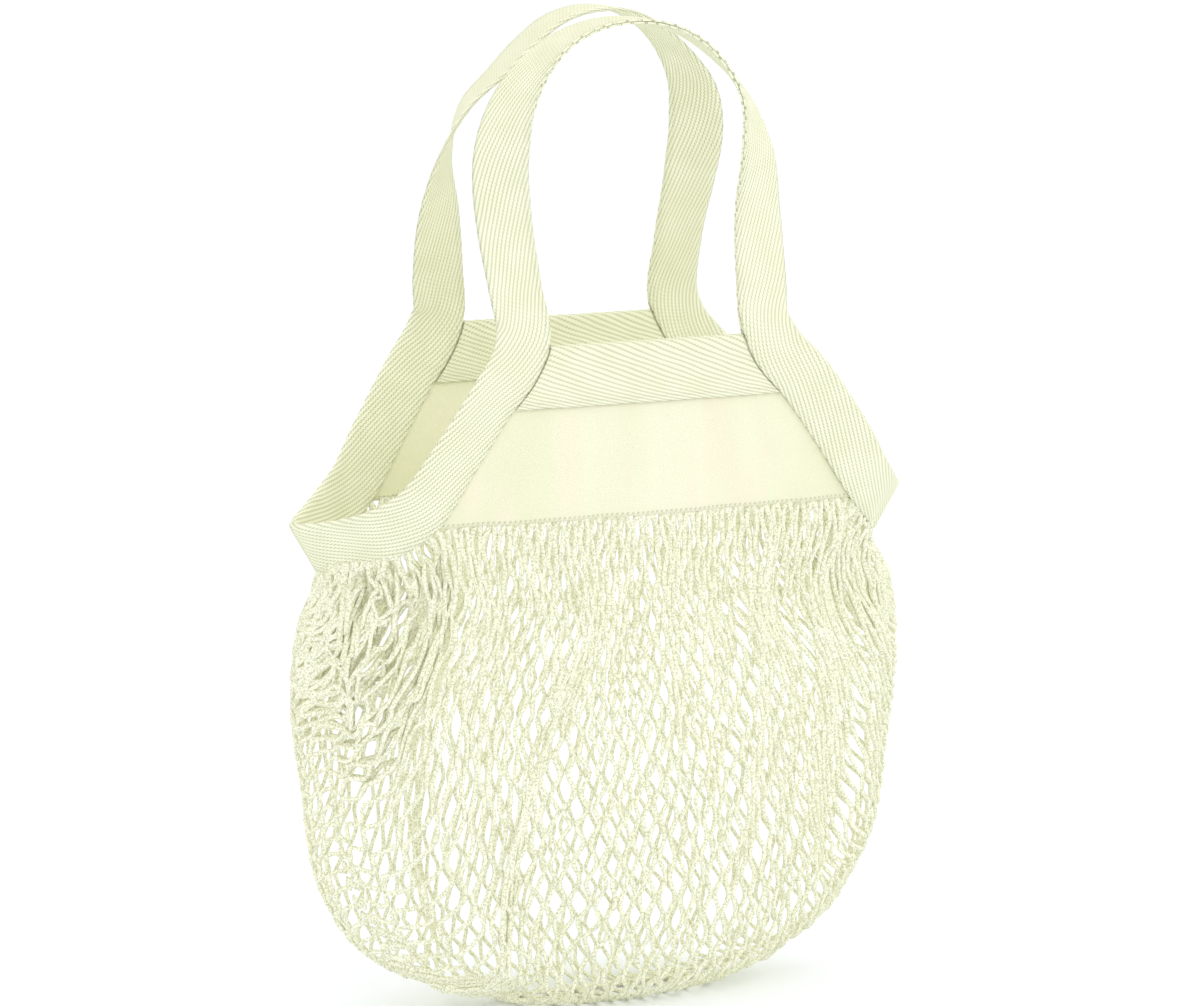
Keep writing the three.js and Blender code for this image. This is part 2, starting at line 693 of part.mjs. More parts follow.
function cloth(name, colour, geometry, turned) {
  geometry.translate(0, 0, -GRIP_HEIGHT);
  if (turned) {
    geometry.rotateZ(Math.PI);
  }
  const material = new THREE.MeshStandardMaterial({ color: colour, roughness: 0.9, metalness: 0 });
  const mesh = new THREE.Mesh(geometry, material);
  mesh.name = name;
  return mesh;
}

const bag = new THREE.Group();
bag.name = 'string_shopping_bag';
bag.add(cloth('net_body', colours.net, netBody(), false));
bag.add(cloth('front_panel', colours.panel, panel(frontWay), false));
bag.add(cloth('back_panel', colours.panel, panel(backWay), true));
bag.add(cloth('front_top_binding', colours.tape, topBinding(frontWay), false));
bag.add(cloth('back_top_binding', colours.tape, topBinding(backWay), true));
bag.add(cloth('front_handle_tape', colours.tape, handleTape(frontWay), false));
bag.add(cloth('back_handle_tape', colours.tape, handleTape(backWay), true));

export default bag;
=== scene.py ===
import bisect
import math

import bmesh
import bpy
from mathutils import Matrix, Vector, noise


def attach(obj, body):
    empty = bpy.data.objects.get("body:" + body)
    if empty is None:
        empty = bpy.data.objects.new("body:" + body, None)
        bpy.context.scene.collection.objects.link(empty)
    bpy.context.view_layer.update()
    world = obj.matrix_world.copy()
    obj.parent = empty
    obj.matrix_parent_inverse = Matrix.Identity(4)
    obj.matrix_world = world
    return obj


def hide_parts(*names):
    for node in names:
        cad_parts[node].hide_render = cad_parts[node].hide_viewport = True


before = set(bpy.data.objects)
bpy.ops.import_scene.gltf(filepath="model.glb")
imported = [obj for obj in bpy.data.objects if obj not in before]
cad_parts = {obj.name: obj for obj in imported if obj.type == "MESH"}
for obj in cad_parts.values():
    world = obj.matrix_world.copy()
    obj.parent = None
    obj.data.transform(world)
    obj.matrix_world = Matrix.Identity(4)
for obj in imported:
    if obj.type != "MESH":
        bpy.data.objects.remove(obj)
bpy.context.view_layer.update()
scene = bpy.context.scene

# ---------------------------------------------------------------------------------------------
# Camera. A long lens a little above the mouth, off to the left of the bag's front, level and
# aimed at the middle of the standing bag.
# ---------------------------------------------------------------------------------------------
AIM = Vector((-0.00523, 0, -0.22246))
AZIMUTH = math.radians(-25.44)
ELEVATION = math.radians(9.40)
DISTANCE = 2.5
LENS = 165.8

eye = bpy.data.cameras.new("camera")
eye.sensor_width = 36
eye.lens = LENS
camera = bpy.data.objects.new("camera", eye)
scene.collection.objects.link(camera)
backward = Vector((
    math.sin(AZIMUTH) * math.cos(ELEVATION),
    -math.cos(AZIMUTH) * math.cos(ELEVATION),
    math.sin(ELEVATION),
))
camera.location = AIM + backward * DISTANCE
camera.rotation_euler = backward.to_track_quat("Z", "Y").to_euler()
scene.camera = camera

# ---------------------------------------------------------------------------------------------
# Panels. A trapezoid of plain woven cotton hangs at the front and one at the back, held at both
# sides in the slot of the folded handle tape, so the tape's way up the sides is laid out first.
# Each is drawn in its own frame, seen from its own side; the back one is turned about the grip.
# ---------------------------------------------------------------------------------------------
MOUTH_HALF_WIDTH = 0.153
MOUTH_HALF_DEPTH = 0.0475
PANEL_TOP = 0.312
PANEL_HEIGHT = 0.079
HANDLE_RISE = 0.142
GRIP_SPREAD = 0.025
TAPE_WIDTH = 0.025
TAPE_LAYER = 0.001
PANEL_THICK = 0.0012
PANEL_TUCK = 0.002
SEAM_ALLOWANCE = 0.006
RIPPLE_DEPTH = 0.0016
PANEL_BULGE = 0.005
SEAM_HEIGHT = PANEL_TOP - PANEL_HEIGHT
GRIP_HEIGHT = PANEL_TOP + HANDLE_RISE - TAPE_LAYER

# From the end of the mouth up to the panel's top corner: share of the half width and half depth,
# share of the panel's height, turn of the face, slant of the width, lean of the fold, in degrees.
FRONT_SIDE_ROWS = [
    # across, deep, high, faces, slant, flare
    (0.957, 0, -0.155, 90, 90, 31),
    (0.875, 0.46, -0.1, 64, 88, 30),
    (0.82, 0.77, -0.035, 46, 78, 26),
    (0.745, 1.0, 0.09, 20, 54, 18),
    (0.632, 1.1, 0.4, 5, 40, 17),
    (0.512, 1.09, 0.72, 2, 32, 16),
    (0.425, 1.02, 0.92, 0, 14, 6),
]
BACK_SIDE_ROWS = [
    (0.957, 0, -0.155, 90, 90, 31),
    (0.88, 0.34, -0.1, 62, 88, 24),
    (0.812, 0.56, -0.035, 40, 76, 17),
    (0.728, 0.7, 0.09, 18, 54, 10),
    (0.62, 0.79, 0.4, 5, 40, 7),
    (0.505, 0.9, 0.72, 2, 32, 4),
    (0.425, 0.98, 0.92, 0, 14, 2),
]
# Over the handle, right leg to left leg: share of the half width, share of the way to the grip,
# share of the rise, turn of the tape, which is 90 where it lies flat on top.
FRONT_HANDLE_ROWS = [
    # across, lean, high, faces
    (0.398, 0.02, 0.02, 0),
    (0.4, 0.3, 0.18, 2),
    (0.412, 0.6, 0.37, 10),
    (0.415, 0.69, 0.594, 34),
    (0.392, 0.78, 0.711, 53),
    (0.308, 0.87, 0.852, 74),
    (0.214, 0.95, 0.938, 84),
    (0.098, 1, 0.989, 89),
    (0, 1, 1, 90),
    (-0.11, 1, 0.985, 92),
    (-0.22, 0.95, 0.937, 98),
    (-0.312, 0.87, 0.855, 108),
    (-0.39, 0.78, 0.718, 124),
    (-0.419, 0.69, 0.6, 142),
    (-0.416, 0.6, 0.37, 168),
    (-0.404, 0.3, 0.18, 178),
    (-0.398, 0.02, 0.02, 180),
]
BACK_HANDLE_ROWS = [
    (0.398, 0.02, 0.02, 0),
    (0.415, 0.3, 0.16, 4),
    (0.432, 0.6, 0.35, 20),
    (0.415, 0.69, 0.55, 54),
    (0.345, 0.8, 0.722, 76),
    (0.262, 0.88, 0.808, 84),
    (0.17, 0.95, 0.905, 88),
    (0.07, 1, 0.982, 90),
    (-0.045, 1, 1.012, 90),
    (-0.15, 1, 1, 92),
    (-0.245, 0.95, 0.95, 96),
    (-0.335, 0.88, 0.86, 106),
    (-0.4, 0.79, 0.745, 124),
    (-0.418, 0.7, 0.62, 148),
    (-0.405, 0.6, 0.45, 172),
    (-0.386, 0.34, 0.24, 183),
    (-0.398, 0.02, 0.02, 180),
]


def mix(a, b, share):
    return a + (b - a) * share


def ease(value, low, high):
    share = min(1, max(0, (value - low) / (high - low)))
    return share * share * (3 - 2 * share)


class SmoothRows:
    """A smooth curve through rows of numbers, spaced by the distance between their first three."""

    def __init__(self, rows):
        self.rows = rows
        self.knots = [0]
        for before, after in zip(rows, rows[1:]):
            self.knots.append(self.knots[-1] + math.dist(before[:3], after[:3]))
        steps = [b - a for a, b in zip(self.knots, self.knots[1:])]
        slopes = [
            [(b - a) / step for a, b in zip(before, after)]
            for before, after, step in zip(rows, rows[1:], steps)
        ]
        self.slopes = [slopes[0]]
        for i in range(1, len(rows) - 1):
            weight = steps[i - 1] / (steps[i - 1] + steps[i])
            self.slopes.append([mix(a, b, weight) for a, b in zip(slopes[i - 1], slopes[i])])
        self.slopes.append(slopes[-1])

    def at(self, distance):
        i = min(max(bisect.bisect_left(self.knots, distance) - 1, 0), len(self.rows) - 2)
        length = self.knots[i + 1] - self.knots[i]
        t = (distance - self.knots[i]) / length
        a = 2 * t ** 3 - 3 * t ** 2 + 1
        b = (t ** 3 - 2 * t ** 2 + t) * length
        c = 3 * t ** 2 - 2 * t ** 3
        d = (t ** 3 - t ** 2) * length
        return [
            a * p + b * u + c * q + d * v
            for p, u, q, v in zip(
                self.rows[i], self.slopes[i], self.rows[i + 1], self.slopes[i + 1])
        ]


class TapeWay:
    """The folded tape's way up the right side, over the handle and down the left side."""

    def __init__(self, side_rows, handle_rows):
        right = [self.side_row(*row) for row in side_rows]
        left = [self.mirrored(row) for row in reversed(right)]
        over = [self.handle_row(*row) for row in handle_rows]
        lead = self.past_end(right[1])
        trail = self.past_end(left[-2])
        self.rows = SmoothRows([lead] + right + over + left + [trail])
        self.start = self.rows.knots[1]
        self.length = self.rows.knots[-2] - self.start
        corner = self.rows.knots[len(side_rows)] - self.start
        self.panel_low = self.distance_where(SEAM_HEIGHT, corner)
        self.panel_high = self.distance_where(PANEL_TOP - PANEL_TUCK, corner + 0.02)
        self.net_end = self.panel_low - 0.003

    def side_row(self, across, deep, high, faces, slant, flare):
        turn, slant, flare = math.radians(faces), math.radians(slant), math.radians(flare)
        along = math.cos(flare) * math.cos(slant)
        out = math.sin(flare)
        return [
            across * MOUTH_HALF_WIDTH,
            -deep * MOUTH_HALF_DEPTH,
            SEAM_HEIGHT + high * PANEL_HEIGHT,
            along * math.cos(turn) + out * math.sin(turn),
            along * math.sin(turn) - out * math.cos(turn),
            math.cos(flare) * math.sin(slant),
        ]

    def handle_row(self, across, lean, high, faces):
        turn = math.radians(faces)
        return [
            across * MOUTH_HALF_WIDTH,
            -mix(MOUTH_HALF_DEPTH, GRIP_SPREAD, lean),
            PANEL_TOP + high * HANDLE_RISE,
            math.cos(turn),
            math.sin(turn),
            0,
        ]

    def mirrored(self, row):
        return [-row[0], row[1], row[2], -row[3], row[4], row[5]]

    def past_end(self, row):
        return [row[0], -row[1], row[2], row[3], -row[4], row[5]]

    def frame(self, distance):
        """(middle, direction of the way, of the tape's width and out of its face)."""
        row = self.rows.at(self.start + distance)
        before = self.rows.at(self.start + distance - 0.0005)
        after = self.rows.at(self.start + distance + 0.0005)
        tangent = (Vector(after[:3]) - Vector(before[:3])).normalized()
        width = Vector(row[3:])
        width = (width - tangent * width.dot(tangent)).normalized()
        return Vector(row[:3]), tangent, width, width.cross(tangent).normalized()

    def seam(self, distance):
        centre, _, width, _ = self.frame(distance)
        return centre - width * TAPE_WIDTH / 2

    def distance_where(self, height, limit):
        low, high = 0, limit
        for _ in range(40):
            middle = (low + high) / 2
            if self.seam(middle).z > height:
                high = middle
            else:
                low = middle
        return (low + high) / 2


front_way = TapeWay(FRONT_SIDE_ROWS, FRONT_HANDLE_ROWS)
back_way = TapeWay(BACK_SIDE_ROWS, BACK_HANDLE_ROWS)


def panel_point(way, side, down):
    """Middle of the panel. side runs from -1 at the left tape to 1, down from 0 at the top to 1."""
    seam = way.seam(mix(way.panel_high, way.panel_low, down))
    inset = 1 - side * side
    ripple = math.sin(side * 9.5 + 0.7) * 0.6 + math.sin(side * 21 + 2.2 + down) * 0.4
    loose = min(1, 3 * inset) * mix(0.25, 1, down)
    out = PANEL_BULGE * down * inset + RIPPLE_DEPTH * ripple * loose
    return Vector((seam.x * side, seam.y - out, seam.z))


def panel_face(way, side, down):
    step = 0.01
    right, left = min(side + step, 1), max(side - step, -1)
    low, high = min(down + step, 1), max(down - step, 0)
    across = panel_point(way, right, down) - panel_point(way, left, down)
    fall = panel_point(way, side, low) - panel_point(way, side, high)
    return fall.cross(across).normalized()


def in_place(point, way):
    """From a side's own frame to the bag's, whose origin is the grip."""
    if way is back_way:
        return Vector((-point.x, -point.y, point.z - GRIP_HEIGHT))
    return Vector((point.x, point.y, point.z - GRIP_HEIGHT))


def cloth_sheet(name, way, columns, rows, place, thick):
    """A grid of cloth. place turns shares across and down into a point and a length and width along
    the cloth, which are kept as its UV map in metres."""
    shape = bmesh.new()
    bmesh.ops.create_grid(shape, x_segments=columns, y_segments=rows, size=1)
    weave = shape.loops.layers.uv.new("weave")
    flat = {}
    for vert in shape.verts:
        point, along = place(vert.co.x, (1 - vert.co.y) / 2)
        flat[vert] = along
        vert.co = in_place(point, way)
    for face in shape.faces:
        face.smooth = True
        for loop in face.loops:
            loop[weave].uv = flat[loop.vert]
    mesh = bpy.data.meshes.new(name + "_cloth")
    shape.to_mesh(mesh)
    shape.free()
    piece = bpy.data.objects.new(name + "_cloth", mesh)
    scene.collection.objects.link(piece)
    wall = piece.modifiers.new("cloth thickness", "SOLIDIFY")
    wall.thickness = thick
    wall.offset = 0
    return piece


class Shade:
    """A value in a finish, so that its maths is written as an expression."""

    def __init__(self, finish, socket):
        self.finish = finish
        self.socket = socket

    def maths(self, operation, first, second=0.0):
        return self.finish.node("ShaderNodeMath", {"operation": operation}, {0: first, 1: second})

    def __add__(self, other):
        return self.maths("ADD", self, other)

    def __mul__(self, other):
        return self.maths("MULTIPLY", self, other)

    def __sub__(self, other):
        return self.maths("SUBTRACT", self, other)

    def __rsub__(self, other):
        return self.maths("SUBTRACT", other, self)

    def __truediv__(self, other):
        return self.maths("DIVIDE", self, other)

    def __mod__(self, other):
        return self.maths("FLOORED_MODULO", self, other)

    def __abs__(self):
        return self.maths("ABSOLUTE", self)

    def sine(self):
        return self.maths("SINE", self)

    def whole(self):
        return self.maths("FLOOR", self)

    def clipped(self, low, high):
        """0 below low, 1 above high and smooth between."""
        return self.finish.node(
            "ShaderNodeMapRange", {"interpolation_type": "SMOOTHSTEP"},
            {0: self, 1: low, 2: high, 3: 0.0, 4: 1.0})


class Finish:
    """A cotton finish: one material, its nodes made by one method."""

    def __init__(self, name):
        self.material = bpy.data.materials.new(name)
        self.material.use_nodes = True
        self.tree = self.material.node_tree
        self.surface = self.tree.nodes["Principled BSDF"]

    def node(self, kind, settings=None, sockets=None, output=0):
        node = self.tree.nodes.new(kind)
        for key, value in (settings or {}).items():
            setattr(node, key, value)
        for key, value in (sockets or {}).items():
            self.connect(node.inputs[key], value)
        return Shade(self, node.outputs[output])

    def connect(self, socket, value):
        if isinstance(value, Shade):
            self.tree.links.new(value.socket, socket)
        else:
            socket.default_value = value

    def uv(self):
        """The length and width along the cloth, in metres."""
        place = self.node("ShaderNodeUVMap", {"uv_map": "weave"})
        return [
            self.node("ShaderNodeSeparateXYZ", {}, {0: place}, output) for output in (0, 1)
        ]

    def mottle(self, size, detail=2.0, where=None):
        """Soft noise from 0 to 1 whose patches measure about size metres."""
        where = where or self.node("ShaderNodeTexCoord", {}, {}, 3)
        return self.node(
            "ShaderNodeTexNoise", {}, {"Vector": where, "Scale": 1 / size, "Detail": detail})

    def blend(self, share, first, second):
        """Colour between two colours."""
        return self.node(
            "ShaderNodeMix", {"data_type": "RGBA"}, {0: share, 6: first, 7: second}, 2)

    def raised(self, height, depth, strength=1.0):
        """Normal of a height from 0 to 1 that stands depth metres out of the surface."""
        return self.node(
            "ShaderNodeBump", {}, {"Height": height, "Distance": depth, "Strength": strength})

    def wear(self, colour, roughness, normal=None):
        self.connect(self.surface.inputs["Base Color"], colour)
        self.connect(self.surface.inputs["Roughness"], roughness)
        self.surface.inputs["Specular IOR Level"].default_value = 0.2
        if normal:
            self.connect(self.surface.inputs["Normal"], normal)
        return self.material


HEM_STITCH = 0.0024
HEM_STITCH_UP = 0.0014
HEM_HOLE = 0.0007


def plain_weave():
    """Warp and weft of fine canvas, with faint warm streaks where it has been ironed."""
    thread = 0.0006
    finish = Finish("panel cotton")
    along, across = finish.uv()
    warp = (along * (math.pi / thread)).sine()
    weft = (across * (math.pi / thread)).sine()
    over = warp * weft * 0.5 + 0.5
    upright = finish.node("ShaderNodeCombineXYZ", {}, {0: along, 1: across * 0.12, 2: 0.3})
    streak = finish.mottle(0.014, 1.0, upright).clipped(0.48, 0.7)
    dull = finish.mottle(0.045, 1.0, upright).clipped(0.35, 0.65)
    cream = finish.blend(dull, (0.87, 0.87, 0.66, 1), (0.82, 0.825, 0.59, 1))
    colour = finish.blend(streak * 0.7, cream, (0.88, 0.825, 0.64, 1))
    # The seam that holds the net shows as a row of needle holes along the lower edge.
    from_hem = abs(across + (PANEL_HEIGHT - HEM_STITCH_UP))
    needle = abs((along / HEM_STITCH) % 1.0 - 0.5) * 2
    holes = (1 - (from_hem / HEM_HOLE).clipped(0.3, 1.0)) * needle.clipped(0.35, 0.8)
    colour = finish.blend(holes * 0.5, colour, (0.45, 0.47, 0.3, 1))
    ripple = finish.mottle(0.035, 0.5, upright)
    return finish.wear(colour, 0.85, finish.raised(over + ripple * 80 - holes * 2, 0.00012))


panel_cotton = plain_weave()


def panel(name, way):
    low_half = way.seam(way.panel_low).x
    allowance = SEAM_ALLOWANCE * 0.9

    def place(side, down):
        distance = mix(way.panel_high, way.panel_low, down)
        centre, _, width, _ = way.frame(distance)
        seam = centre - width * TAPE_WIDTH / 2
        whole = seam.x + allowance
        reach = abs(side) * whole
        along = (side * whole, -down * PANEL_HEIGHT)
        if reach <= seam.x:
            return panel_point(way, math.copysign(reach / seam.x, side), down), along
        point = seam + width * (reach - seam.x)
        point.x = math.copysign(point.x, side)
        return point, along

    piece = cloth_sheet(name, way, 120, 44, place, PANEL_THICK * 0.8)
    piece.data.materials.append(panel_cotton)
    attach(piece, "root")
    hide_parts(name)
    high_half = way.seam(way.panel_high).x


panel("front_panel", front_way)
panel("back_panel", back_way)

# ---------------------------------------------------------------------------------------------
# Top bindings. A length of the same cotton tape as the handles is folded over the top edge of
# each panel and sewn through, from one leg of the handle to the other.
# ---------------------------------------------------------------------------------------------
CLEARANCE = 0.00035
BINDING_DROP = 0.3
TWILL_PITCH = 0.0018
TWILL_SLANT = math.radians(17)
TWILL_STITCH = 0.00155
SEAM_LINE = 0.0006
SEAM_STITCH = 0.0028
BINDING_TURN_IN = 1.08


def twill(name, seam_at, tape_half):
    """Diagonal twill lines of short raised floats with dark pinholes between them. A closing
    seam runs seam_at from each long edge of the tape."""
    finish = Finish(name)
    along, across = finish.uv()
    wander = finish.mottle(0.02, 2.0) - 0.5
    line = (across * math.cos(TWILL_SLANT) + along * math.sin(TWILL_SLANT)) / TWILL_PITCH
    line = line + wander * 0.35
    row = line.whole()
    rib = abs((line % 1.0) - 0.5) * 2
    step = (along / TWILL_STITCH + row * 0.5 + finish.mottle(0.008, 0.0) * 0.8) % 1.0
    float_end = abs(step - 0.5) * 2
    hole = rib.clipped(0.35, 0.8) * float_end.clipped(0.35, 0.75)
    height = 0.3 - hole * 0.8
    from_edge = tape_half - abs(across)
    seam = 1 - (abs(from_edge - seam_at) / SEAM_LINE).clipped(0.5, 1.0)
    needle = (along / SEAM_STITCH) % 1.0
    dark_hole = seam * (abs(needle - 0.5) * 2).clipped(0.6, 0.9)
    shade = finish.mottle(0.012, 3.0).clipped(0.3, 0.75)
    plain = finish.blend(shade, (0.875, 0.88, 0.65, 1), (0.92, 0.92, 0.71, 1))
    # Painted shade: the grooves between the twill lines are darkened a little.
    groove_shade = rib.clipped(0.6, 1.0) * 0.02
    colour = finish.blend(hole * 0.74 + dark_hole * 0.16 + groove_shade, plain, (0.40, 0.43, 0.24, 1))
    fuzz = finish.mottle(0.0006, 1.0)
    normal = finish.raised(height - seam * 0.7 + fuzz * 0.2, 0.00035, 0.8)
    return finish.wear(colour, 0.85, normal)


tape_cotton = twill("tape cotton", 0.0022, TAPE_WIDTH)


def top_binding(name, way):
    middle = PANEL_THICK / 2 + CLEARANCE + TAPE_LAYER / 2
    drop = BINDING_DROP * PANEL_HEIGHT
    round_top = math.pi * middle
    cut = 2 * drop + round_top

    def place(side, turned):
        run = turned * cut
        if run < drop:
            down, out, up = (drop - run) / PANEL_HEIGHT, middle, 0
        elif run > drop + round_top:
            down, out, up = (run - drop - round_top) / PANEL_HEIGHT, -middle, 0
        else:
            angle = (run - drop) / middle
            down, out, up = 0, middle * math.cos(angle), middle * math.sin(angle)
        half = panel_point(way, 1, down).x
        reach = side * (1 - CLEARANCE * 3.5 / half)
        point = panel_point(way, reach, down) + panel_face(way, reach, down) * out
        return point + Vector((0, 0, up)), (side * half, run - cut / 2)

    piece = cloth_sheet(name, way, 90, 36, place, TAPE_LAYER * 0.9)
    piece.data.materials.append(tape_cotton)
    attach(piece, "root")
    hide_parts(name)
    length = 2 * way.seam(way.panel_high).x * BINDING_TURN_IN


top_binding("front_top_binding", front_way)
top_binding("back_top_binding", back_way)

# ---------------------------------------------------------------------------------------------
# Net. A coarse sack is knitted of cotton cord, two cords to each column, which meet and part by
# turns so that they leave diamonds. It is gathered along the panels and in the tape's slot, and
# its front and back are closed on each other down both sides and under the bottom.
# ---------------------------------------------------------------------------------------------
NET_HALF_WIDTH = 0.150
NET_HALF_DEPTH = 0.062
NET_SHIFT = 0.001
UNDER_PANEL = 10 / 18
FOLD_DEPTH = 0.006
CORD_RADIUS = 0.00105
# Flat size of each half, which is a guess.
HALF_ROWS = 28
STATIONS = 4
SEWN_SHARE = 0.03

# Level rings: share of the seam's height, of the half width and of the half depth front and
# back, and roundness of the corners, where 2 is an ellipse.
SACK_ROWS = [
    # high, wide, front, back, square
    (0.8, 0.99, 0.86, 0.66, 1.9),
    (0.65, 1.02, 0.97, 0.84, 1.75),
    (0.46, 0.985, 1, 0.95, 1.7),
    (0.27, 0.935, 0.93, 0.92, 1.7),
    (0.13, 0.8, 0.78, 0.76, 1.8),
    (0.045, 0.56, 0.64, 0.54, 2),
    (0.004, 0.34, 0.4, 0.28, 2.2),
]
# Folds that stand out or in: place round the sack from the middle of the front, its width,
# share of the fold depth, how far it wanders on its way down and where it dies out.
FOLD_ROWS = [
    # at, span, depth, drift, low
    (0.035, 0.035, 0.5, -0.02, 0.8),
    (0.115, 0.04, -0.6, 0.015, 0.85),
    (0.175, 0.03, 0.7, 0.02, 0.75),
    (0.225, 0.035, -1, 0.01, 0.8),
    (0.285, 0.035, -0.8, -0.015, 0.8),
    (0.345, 0.04, 0.7, -0.02, 0.7),
    (0.43, 0.045, -0.5, 0.02, 0.9),
    (0.54, 0.045, 0.6, -0.03, 0.85),
    (0.63, 0.04, -0.7, 0.02, 0.8),
    (0.705, 0.035, 0.8, 0.015, 0.75),
    (0.765, 0.035, -1, -0.01, 0.85),
    (0.83, 0.04, 0.9, 0.06, 0.9),
    (0.895, 0.04, -0.9, 0.05, 0.95),
    (0.955, 0.035, 0.7, 0.01, 0.85),
]
# Columns left between the middle of a face and its end, at shares of the way down. The outer
# ones run out into the side as the net widens.
COLUMN_ROWS = [(0, 28), (0.15, 23), (0.35, 18.5), (0.55, 15), (0.7, 12.5), (0.85, 9), (1, 4)]
COLUMNS_UNDER_PANEL = 16
WIDER_ENDS = 0.12
# Where the cords crowd into a bundle on each face: place across from -1 to 1 at its upper and
# lower end, shares of the way down of both, half its width, how hard it draws the cords in, and
# how far it stands out in metres.
FRONT_BUNDLES = [
    # at_high, at_low, high, low, span, draw, out
    (-0.18, -0.9, 0.15, 0.84, 0.15, 0.72, 0.003),
    (-0.88, -0.76, 0.0, 0.36, 0.12, 0.55, 0.004),
    (0.82, 0.86, 0.02, 0.55, 0.1, 0.55, 0.003),
    (0.34, 0.27, 0.05, 0.62, 0.06, 0.5, 0.003),
    (0.06, 0.02, 0.05, 0.45, 0.05, 0.45, 0.003),
    (-0.34, -0.3, 0.08, 0.6, 0.05, 0.5, 0.003),
    (-0.48, -0.42, 0.03, 0.25, 0.07, 0.4, 0.002),
    (-0.7, -0.62, 0.28, 0.85, 0.15, -1.1, 0),
    (0.72, 0.7, 0.3, 0.8, 0.1, -0.45, 0),
    (0.55, 0.6, 0.05, 0.35, 0.05, 0.35, 0.002),
]
BACK_BUNDLES = [
    (0.3, 0.55, 0.1, 0.8, 0.12, 0.5, 0.004),
    (-0.35, -0.5, 0.15, 0.75, 0.1, 0.45, 0.003),
    (0.86, 0.75, 0.02, 0.4, 0.12, 0.5, 0.003),
    (-0.86, -0.78, 0.02, 0.4, 0.12, 0.5, 0.003),
]
# Where a slack part of the net hangs in a swag: place across, half its width, how far down it
# starts and ends, and how much lower its rows hang, as a share of the way.
FRONT_SWAGS = [
    # at, span, high, low, sag
    (-0.66, 0.19, 0.0, 0.88, 0.19),
    (0.7, 0.16, 0.0, 0.7, 0.12),
    (0.2, 0.3, 0.4, 0.95, 0.02),
]
BACK_SWAGS = [
    (0.55, 0.25, 0.3, 0.85, 0.08),
    (-0.2, 0.3, 0.3, 0.85, 0.03),
]


def ring_point(wide, deep, square, share):
    """Point on a rounded ring at a share of the way from mid face to the right end."""
    corners = [
        (wide * math.sin(angle) ** (2 / square), -deep * math.cos(angle) ** (2 / square))
        for angle in (math.pi / 2 * min(i / 48, 0.99999) for i in range(49))
    ]
    lengths = [0]
    for a, b in zip(corners, corners[1:]):
        lengths.append(lengths[-1] + math.dist(a, b))
    wanted = share * lengths[-1]
    i = min(max(bisect.bisect_left(lengths, wanted) - 1, 0), 47)
    t = (wanted - lengths[i]) / (lengths[i + 1] - lengths[i])
    return [mix(corners[i][k], corners[i + 1][k], t) for k in (0, 1)]


def net_line(way, side):
    """One line of the net from the seam to the bottom. side is -1 at the left end to 1."""
    quarter = abs(side)
    sign = math.copysign(1, side)
    if quarter <= UNDER_PANEL:
        place = side / UNDER_PANEL
        behind = PANEL_THICK / 2 + CORD_RADIUS
        tucked = 1 - 0.001 / PANEL_HEIGHT
        start = panel_point(way, place, tucked) - panel_face(way, place, tucked) * behind
        low = panel_point(way, place, 1) - panel_face(way, place, 1) * behind * 0.6
        low.z -= 0.005
        rows = [list(start), list(low)]
    else:
        share = (quarter - UNDER_PANEL) / (1 - UNDER_PANEL)
        centre, _, width, _ = way.frame(mix(way.net_end, 0, share))
        seam = centre - width * TAPE_WIDTH / 2
        sewn = seam + width * SEAM_ALLOWANCE * mix(0.3, 0.8, share)
        rows = [list(sewn), list(seam - width * 0.001)]
        for row in rows:
            row[0] *= sign
    deep_column = 2 if way is front_way else 3
    for ring in SACK_ROWS:
        x, y = ring_point(
            ring[1] * NET_HALF_WIDTH, ring[deep_column] * NET_HALF_DEPTH, ring[4], quarter)
        rows.append([sign * x, y, ring[0] * SEAM_HEIGHT + CORD_RADIUS])
    x, y, z = rows[-1]
    rows.append([x * 0.98, -0.0006, CORD_RADIUS * 1.1])
    return SmoothRows(rows)


def fold_out(round_share, down):
    out = 0
    for at, span, depth, drift, low in FOLD_ROWS:
        gap = round_share - (at + drift * down)
        gap -= round(gap)
        strength = ease(down, 0.06, 0.22) * (1 - ease(down, low - 0.25, low))
        out += depth * strength * math.exp(-((gap / (span / 2)) ** 2))
    return out * FOLD_DEPTH


